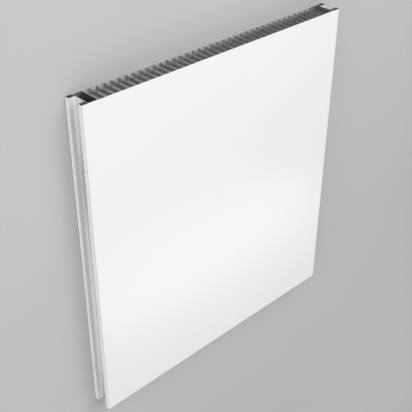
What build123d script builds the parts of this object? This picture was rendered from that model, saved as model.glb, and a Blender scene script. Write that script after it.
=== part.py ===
from build123d import *
import math
import os

# A cleanroom wall panel: two white coated steel skins bonded to an aluminium
# honeycomb core. Down both long sides each skin folds round a hollow lip, and
# between the lips is a groove for the joining spline. The groove's floor is
# the web of a thin sheet channel. Both ends are cut square and left open, so
# the lips, the channels and the cells of the core show there.
#
# It lies on its back. X is its width, Y its height when it stands, and Z its
# thickness, with the front skin on top. The origin is under its middle, on
# the rear skin's outer face. All sizes are in millimetres.

# The whole panel
PANEL_WIDTH = 700.0
PANEL_HEIGHT = 750.0
PANEL_THICKNESS = 50.0

# Skins, each one sheet folded twice down both long sides
SKIN_SHEET = 0.6
SKIN_BEND_RADIUS = 1.6  # outside of the bend

# Lips and grooves
LIP_THICKNESS = 11.0  # from the skin's outer face to the groove
LEFT_GROOVE_DEPTH = 14.3  # from the lips' ends to the channel's web
RIGHT_GROOVE_DEPTH = 20.0

# Edge channels, each one folded sheet
CHANNEL_SHEET = 0.8
CHANNEL_BEND_RADIUS = 1.8  # outside of the bend
LEFT_FLANGE = 20.3  # from the web's inner face to the core
RIGHT_FLANGE_LEAST = 18.0

# Honeycomb core
CELL_WIDTH = 16.7  # across the flats, along the panel's width
CELL_WALL = 0.4  # drawn thicker than the real foil
CUT_ABOVE_NODE = 9.0  # height of the upright foils left standing at the top end
OPEN_ROWS = 3  # rows of real cells at each end, the cut one included

# What follows from these
INNER_BOTTOM = SKIN_SHEET
INNER_TOP = PANEL_THICKNESS - SKIN_SHEET
LEFT_EDGE = -PANEL_WIDTH / 2
RIGHT_EDGE = PANEL_WIDTH / 2
TOP_END = PANEL_HEIGHT / 2
BOTTOM_END = -PANEL_HEIGHT / 2
LEFT_WEB = LEFT_EDGE + LEFT_GROOVE_DEPTH
RIGHT_WEB = RIGHT_EDGE - RIGHT_GROOVE_DEPTH

# Whole cells fill the width, and the right flange takes up what they leave
CELL_SIDE = CELL_WIDTH / math.sqrt(3)
ROW_PITCH = 1.5 * CELL_SIDE
CORE_LEFT = LEFT_WEB + CHANNEL_SHEET + LEFT_FLANGE
CORE_ROOM = RIGHT_WEB - CHANNEL_SHEET - RIGHT_FLANGE_LEAST - CORE_LEFT
CELL_COLUMNS = int((CORE_ROOM - CELL_WALL) // CELL_WIDTH)
CORE_RIGHT = CORE_LEFT + CELL_COLUMNS * CELL_WIDTH + CELL_WALL
RIGHT_FLANGE = RIGHT_WEB - CHANNEL_SHEET - CORE_RIGHT


def box_between(low_x, high_x, low_z, high_z):
    """A rectangle in the section plane, from one corner to the other."""
    place = Pos((low_x + high_x) / 2, (low_z + high_z) / 2)
    return place * Rectangle(high_x - low_x, high_z - low_z)


def rounded_at(sketch, x, radius):
    """Rounds the corners of a section that lie at x."""
    found = [v for v in sketch.vertices() if abs(v.X - x) < 1e-6]
    return fillet(found, radius)


def along_height(section):
    """Runs a section drawn in X and Z over the panel's whole height."""
    return extrude(Plane.XZ * section, PANEL_HEIGHT / 2, both=True)


def front_sheet():
    """The front skin: its face, the lips' ends and the groove walls, which run
    in to the webs of the channels."""
    lip_low = PANEL_THICKNESS - LIP_THICKNESS
    outside = box_between(LEFT_EDGE, RIGHT_EDGE, lip_low, PANEL_THICKNESS)
    outside = rounded_at(outside, LEFT_EDGE, SKIN_BEND_RADIUS)
    outside = rounded_at(outside, RIGHT_EDGE, SKIN_BEND_RADIUS)

    left, right = LEFT_EDGE + SKIN_SHEET, RIGHT_EDGE - SKIN_SHEET
    inside = box_between(left, right, lip_low + SKIN_SHEET, INNER_TOP)
    inside = rounded_at(inside, left, SKIN_BEND_RADIUS - SKIN_SHEET)
    inside = rounded_at(inside, right, SKIN_BEND_RADIUS - SKIN_SHEET)

    between_webs = box_between(LEFT_WEB, RIGHT_WEB, lip_low - 1, INNER_TOP)
    return along_height(outside - inside - between_webs)


def edge_channel(web_face, flange_end):
    """A channel whose web stands at the groove's floor, with its flanges on
    the skins' inner faces. It opens to the side that flange_end is on."""
    inward = 1 if flange_end > web_face else -1
    low_x, high_x = sorted((web_face, flange_end))
    outside = box_between(low_x, high_x, INNER_BOTTOM, INNER_TOP)
    outside = rounded_at(outside, web_face, CHANNEL_BEND_RADIUS)

    web_back = web_face + inward * CHANNEL_SHEET
    low_x, high_x = sorted((web_back, flange_end + inward))
    low_z, high_z = INNER_BOTTOM + CHANNEL_SHEET, INNER_TOP - CHANNEL_SHEET
    inside = box_between(low_x, high_x, low_z, high_z)
    inside = rounded_at(inside, web_back, CHANNEL_BEND_RADIUS - CHANNEL_SHEET)
    return along_height(outside - inside)


def open_rows():
    """The rows of cells at the two ends, each with its number and its height.
    The rows are counted down from the one that the top end cuts through."""
    top_row = TOP_END - CUT_ABOVE_NODE + CELL_SIDE / 2
    lowest_reach = BOTTOM_END - CELL_SIDE
    count = math.ceil((top_row - lowest_reach) / ROW_PITCH)
    rows = [r for r in range(count) if r < OPEN_ROWS or r >= count - OPEN_ROWS]
    return [(r, top_row - r * ROW_PITCH) for r in rows]


def honeycomb_core():
    """The core, with its open cells at both ends and plain between them. Cells
    run from skin to skin, and every second row is half a cell across."""
    core = box_between(CORE_LEFT, CORE_RIGHT, BOTTOM_END, TOP_END)
    first_foil = CORE_LEFT + CELL_WALL / 2
    centres = []
    for row, height in open_rows():
        shift = 0.5 if row % 2 == 0 else 0.0
        for column in range(CELL_COLUMNS + row % 2):
            centres.append(Pos(first_foil + (column + shift) * CELL_WIDTH, height))
    opening = RegularPolygon((CELL_WIDTH - CELL_WALL) / math.sqrt(3), 6, rotation=30)
    sheet = core - [centre * opening for centre in centres]
    return extrude(Pos(0, 0, INNER_BOTTOM) * sheet, INNER_TOP - INNER_BOTTOM)


front_skin = front_sheet()
parts = {
    "front_skin": front_skin,
    "rear_skin": mirror(front_skin, Plane.XY.offset(PANEL_THICKNESS / 2)),
    "edge_channel_left": edge_channel(LEFT_WEB, CORE_LEFT),
    "edge_channel_right": edge_channel(RIGHT_WEB, CORE_RIGHT),
    "honeycomb_core": honeycomb_core(),
}

os.makedirs("parts", exist_ok=True)
for name, shape in parts.items():
    export_step(shape, f"parts/{name}.step")
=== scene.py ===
import math

import bpy
from mathutils import Matrix, Vector


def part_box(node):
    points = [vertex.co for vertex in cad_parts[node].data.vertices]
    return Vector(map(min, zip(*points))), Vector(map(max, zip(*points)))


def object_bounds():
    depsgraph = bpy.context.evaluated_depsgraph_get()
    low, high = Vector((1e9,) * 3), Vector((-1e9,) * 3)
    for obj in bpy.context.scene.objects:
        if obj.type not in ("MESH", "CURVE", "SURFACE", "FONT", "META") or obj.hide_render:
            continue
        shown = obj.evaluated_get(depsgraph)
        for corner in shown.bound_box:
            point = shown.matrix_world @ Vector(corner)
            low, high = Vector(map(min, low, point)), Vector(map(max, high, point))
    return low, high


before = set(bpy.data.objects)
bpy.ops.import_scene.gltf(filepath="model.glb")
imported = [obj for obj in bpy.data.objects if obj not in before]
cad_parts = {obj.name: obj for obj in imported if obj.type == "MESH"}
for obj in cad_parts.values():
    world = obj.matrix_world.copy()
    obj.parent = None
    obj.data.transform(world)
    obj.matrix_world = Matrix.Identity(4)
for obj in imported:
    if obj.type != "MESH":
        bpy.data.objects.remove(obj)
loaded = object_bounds()
scene = bpy.context.scene
scene.view_settings.view_transform = "Standard"

# The panel in the row frame, in metres: its outside and its core come from the
# frame, and its sheet and lips are as thick as in the CAD
HALF_WIDTH = loaded[1].x
MIDDLE = loaded[1].z / 2
CORE_LEFT, CORE_RIGHT = (corner.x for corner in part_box("honeycomb_core"))
LIP_THICKNESS = 0.011
HALF_SHEET = 0.0003
MARGIN = 0.0001  # keeps a limit clear of the surface that it takes in

SQUARELY = 0.9  # part of a normal along an axis, past which the face faces it
CENTRE = (0, 0, 0)
FLOOR_REACH = 20.0
FLOOR_DROP = 0.0002  # keeps the floor clear of the rear skin's face


class Nodes:
    """A material's node tree, with short calls for the nodes used here."""

    def __init__(self, name):
        self.material = bpy.data.materials.new(name)
        self.material.use_nodes = True
        self.tree = self.material.node_tree
        self.shader = self.tree.nodes["Principled BSDF"]

    def add(self, kind, **settings):
        node = self.tree.nodes.new(kind)
        for key, value in settings.items():
            setattr(node, key, value)
        return node

    def feed(self, socket, value):
        if isinstance(value, bpy.types.NodeSocket):
            self.tree.links.new(value, socket)
        else:
            socket.default_value = value

    def surface(self, **values):
        """Feeds the shader's inputs, named in lower case with underscores."""
        for name, value in values.items():
            self.feed(self.shader.inputs[name.replace("_", " ").title()], value)

    def coordinates(self, kind):
        """X, Y and Z of the position in the row frame, or of the normal."""
        node = self.add("ShaderNodeSeparateXYZ")
        self.feed(node.inputs["Vector"], self.add("ShaderNodeTexCoord").outputs[kind])
        return node.outputs

    def stretched_place(self, stretch):
        """The position in the row frame, in metres, stretched along its axes."""
        node = self.add("ShaderNodeMapping")
        self.feed(node.inputs["Vector"], self.add("ShaderNodeTexCoord").outputs["Object"])
        self.feed(node.inputs["Scale"], stretch)
        return node.outputs["Vector"]

    def noise(self, scale, detail=2.0, stretch=(1, 1, 1)):
        node = self.add("ShaderNodeTexNoise")
        self.feed(node.inputs["Vector"], self.stretched_place(stretch))
        self.feed(node.inputs["Scale"], scale)
        self.feed(node.inputs["Detail"], detail)
        return node.outputs["Fac"]

    def cells(self, scale, stretch=(1, 1, 1)):
        """A random grey for each cell of a crystal-like pattern."""
        node = self.add("ShaderNodeTexVoronoi")
        self.feed(node.inputs["Vector"], self.stretched_place(stretch))
        self.feed(node.inputs["Scale"], scale)
        parts = self.add("ShaderNodeSeparateColor")
        self.feed(parts.inputs["Color"], node.outputs["Color"])
        return parts.outputs["Red"]

    def math(self, operation, *values):
        node = self.add("ShaderNodeMath", operation=operation)
        for socket, value in zip(node.inputs, values):
            self.feed(socket, value)
        return node.outputs["Value"]

    def all_of(self, first, *others):
        """1 where each of these 0 or 1 values is 1."""
        for other in others:
            first = self.math("MULTIPLY", first, other)
        return first

    def spread(self, value, low, high):
        """Carries a 0 to 1 value to the range from low to high."""
        node = self.add("ShaderNodeMapRange")
        self.feed(node.inputs["Value"], value)
        self.feed(node.inputs["To Min"], low)
        self.feed(node.inputs["To Max"], high)
        return node.outputs["Result"]

    def mix(self, factor, first, second):
        node = self.add("ShaderNodeMix", data_type="RGBA")
        self.feed(node.inputs["Factor"], factor)
        self.feed(node.inputs["A"], first)
        self.feed(node.inputs["B"], second)
        return node.outputs["Result"]

    def bump(self, height, distance):
        node = self.add("ShaderNodeBump")
        self.feed(node.inputs["Height"], height)
        self.feed(node.inputs["Distance"], distance)
        self.feed(node.inputs["Strength"], 1.0)
        self.surface(normal=node.outputs["Normal"])


def cut_end(n):
    """1 on the faces left by the cuts at the panel's two ends."""
    along = n.coordinates("Normal")["Y"]
    return n.math("GREATER_THAN", n.math("ABSOLUTE", along), SQUARELY)


def cut_steel(n):
    """The speckled bare grey of cut sheet steel."""
    speckle = n.noise(500.0, 3.0, (1, 1, 4))
    return n.mix(speckle, (0.6, 0.6, 0.6, 1), (0.8, 0.8, 0.8, 1))


def coated_steel():
    """White coil coating outside, glossier in the grooves, a dark backing coat
    inside that is darkened further as painted shade of the hollow lips, a light
    glue film where the core sits, and bare cut edges."""
    n = Nodes("coated_steel")
    place = n.coordinates("Object")
    from_middle = n.math("ABSOLUTE", n.math("SUBTRACT", place["Z"], MIDDLE))
    cut = cut_end(n)
    groove = n.math("LESS_THAN", from_middle, MIDDLE - LIP_THICKNESS + MARGIN)
    # The limits lie in the middle of the sheet, so its inner side is inside
    inside = n.all_of(
        n.math("LESS_THAN", n.math("ABSOLUTE", place["X"]), HALF_WIDTH - HALF_SHEET),
        n.math("LESS_THAN", from_middle, MIDDLE - HALF_SHEET),
        n.math("GREATER_THAN", from_middle, MIDDLE - LIP_THICKNESS + HALF_SHEET),
    )
    bonded = n.all_of(
        n.math("GREATER_THAN", place["X"], CORE_LEFT - MARGIN),
        n.math("LESS_THAN", place["X"], CORE_RIGHT + MARGIN),
    )

    cloud = n.noise(3.0, 3.0)
    white = n.mix(cloud, (0.835, 0.84, 0.84, 1), (0.86, 0.862, 0.86, 1))
    # Partly the real backing coat, partly painted shade: it is made near black so that the hollows
    # inside the lips look shaded
    back_coat_and_shade = n.mix(n.noise(60.0, 3.0), (0.12, 0.122, 0.125, 1), (0.16, 0.162, 0.165, 1))
    glue = n.mix(n.noise(240.0, 4.0), (0.24, 0.245, 0.24, 1), (0.66, 0.665, 0.66, 1))
    coat = n.mix(inside, white, n.mix(bonded, back_coat_and_shade, glue))
    cut_metal = n.math("MULTIPLY", cut, 0.3)
    groove_metal = n.math("MULTIPLY", groove, 0.32)
    groove_gloss = n.math("MULTIPLY", groove, 0.08)
    n.surface(
        base_color=n.mix(cut, coat, cut_steel(n)),
        metallic=n.math("MAXIMUM", cut_metal, groove_metal),
        roughness=n.math("SUBTRACT", n.spread(cloud, 0.2, 0.25), groove_gloss),
    )
    n.bump(n.noise(700.0), 0.00002)
    return n.material


def channel_steel():
    """Smooth bright zinc on the groove's side, dull dark zinc on the other side,
    darkened as painted shade of the hollow lips, and bare steel where it is cut."""
    n = Nodes("channel_steel")
    side = n.math("SIGN", n.coordinates("Object")["X"])
    outwards = n.math("MULTIPLY", n.coordinates("Normal")["X"], side)
    smooth = n.math("GREATER_THAN", outwards, SQUARELY)

    spangle = n.cells(180.0, (1, 0.6, 1))
    streak = n.noise(220.0, 3.0, (1, 0.06, 1))
    tone = n.math("ADD", n.math("MULTIPLY", spangle, 0.5), n.math("MULTIPLY", streak, 0.5))
    # Partly the zinc's own tone, partly painted shade: the side inside the lips is made dark so that
    # the hollows look shaded
    dull = n.mix(tone, (0.2, 0.205, 0.21, 1), (0.32, 0.325, 0.33, 1))
    bright = n.mix(tone, (0.56, 0.565, 0.57, 1), (0.64, 0.645, 0.65, 1))
    smooth_metal = n.math("MULTIPLY", smooth, 0.45)
    smooth_gloss = n.math("MULTIPLY", smooth, 0.18)
    n.surface(
        base_color=n.mix(cut_end(n), n.mix(smooth, dull, bright), cut_steel(n)),
        metallic=n.math("ADD", 0.4, smooth_metal),
        roughness=n.math("SUBTRACT", n.spread(spangle, 0.32, 0.4), smooth_gloss),
    )
    n.bump(streak, 0.00003)
    return n.material


def bare_foil():
    """Aluminium foil, dull and faintly crinkled, bright where it is cut."""
    n = Nodes("bare_foil")
    cut = cut_end(n)
    crinkle = n.noise(140.0, 4.0, (1, 1, 0.35))
    dull = n.mix(n.noise(35.0), (0.41, 0.415, 0.42, 1), (0.53, 0.535, 0.54, 1))
    n.surface(
        base_color=n.mix(cut, dull, (0.95, 0.95, 0.95, 1)),
        metallic=n.math("SUBTRACT", 1.0, cut),
        roughness=n.spread(crinkle, 0.14, 0.3),
    )
    n.bump(crinkle, 0.0002)
    return n.material


def floor_paint():
    """Pale grey paint, matt and slightly cloudy."""
    n = Nodes("floor_paint")
    paint = n.mix(n.noise(2.0, 3.0), (0.5, 0.505, 0.51, 1), (0.53, 0.535, 0.54, 1))
    n.surface(base_color=paint, roughness=0.85)
    n.bump(n.noise(400.0, 3.0), 0.00005)
    return n.material


def dress(material, *nodes):
    """Gives these CAD nodes one material."""
    for name in nodes:
        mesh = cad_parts[name].data
        mesh.materials.clear()
        mesh.materials.append(material)


def lay_floor():
    """A plain square floor, right under the panel."""
    mesh = bpy.data.meshes.new("floor")
    corners = [(x * FLOOR_REACH, y * FLOOR_REACH, 0) for x, y in ((-1, -1), (1, -1), (1, 1), (-1, 1))]
    mesh.from_pydata(corners, [], [range(4)])
    mesh.materials.append(floor_paint())
    floor = bpy.data.objects.new("floor", mesh)
    floor.location.z = -FLOOR_DROP
    scene.collection.objects.link(floor)


def even_light(strength):
    """White light from all round."""
    world = bpy.data.worlds.new("studio")
    world.use_nodes = True
    scene.world = world
    background = world.node_tree.nodes["Background"]
    background.inputs["Color"].default_value = (1, 1, 1, 1)
    background.inputs["Strength"].default_value = strength


def lamp(name, place, aim, size, power):
    """A soft oval lamp that faces the point aim."""
    data = bpy.data.lights.new(name, "AREA")
    data.shape = "ELLIPSE"
    data.size, data.size_y = size
    data.energy = power
    obj = bpy.data.objects.new(name, data)
    obj.location = place
    obj.rotation_euler = (Vector(aim) - Vector(place)).to_track_quat("-Z", "Y").to_euler()
    scene.collection.objects.link(obj)


def set_camera(eye, aim, roll, lens):
    """A camera at eye that faces the point aim, turned by roll degrees."""
    data = bpy.data.cameras.new("camera")
    data.sensor_width = 36.0
    data.lens = lens
    camera = bpy.data.objects.new("camera", data)
    level = (Vector(aim) - Vector(eye)).to_track_quat("-Z", "Y").to_matrix().to_4x4()
    turn = Matrix.Rotation(math.radians(roll), 4, "Z")
    camera.matrix_world = Matrix.Translation(eye) @ level @ turn
    scene.collection.objects.link(camera)
    scene.camera = camera


dress(coated_steel(), "front_skin", "rear_skin")
dress(channel_steel(), "edge_channel_left", "edge_channel_right")
dress(bare_foil(), "honeycomb_core")
lay_floor()

# Soft light: an even world, a wide lamp over the panel, one that reaches into
# the cells of its top end, a broad low one at its left for the lips' ends, two
# small ones that the left groove reflects, and a long one that the face
# reflects as a faint band below its middle
even_light(0.454)
lamp("overhead", place=(0.2, 1.1, 2.0), aim=CENTRE, size=(2.2, 2.2), power=9.9)
lamp("top_end", place=(0.3, 1.6, 1.6), aim=CENTRE, size=(2.0, 2.0), power=20.6)
lamp("low_left", place=(-2.6, 0.1, 1.0), aim=(-HALF_WIDTH, 0, 0), size=(4.0, 1.9), power=28.2)
lamp("groove_top", place=(-1.25, -0.42, 1.4), aim=CENTRE, size=(0.5, 0.5), power=1.03)
lamp("groove_low", place=(-1.25, -1.45, 1.4), aim=CENTRE, size=(0.8, 0.8), power=2.22)
lamp("face_band", place=(1.3, -1.5, 1.4), aim=(1.3, -1.5, 0), size=(1.8, 0.5), power=6.11)

# The camera looks down on the panel at the photograph's viewing angle, and is
# turned so that the panel's top end is up
set_camera(
    eye=(-1.0483, 0.99458, 1.09207),
    aim=(-0.05465, 0.034889, 0.05),
    roll=120.4729,
    lens=70.109,
)
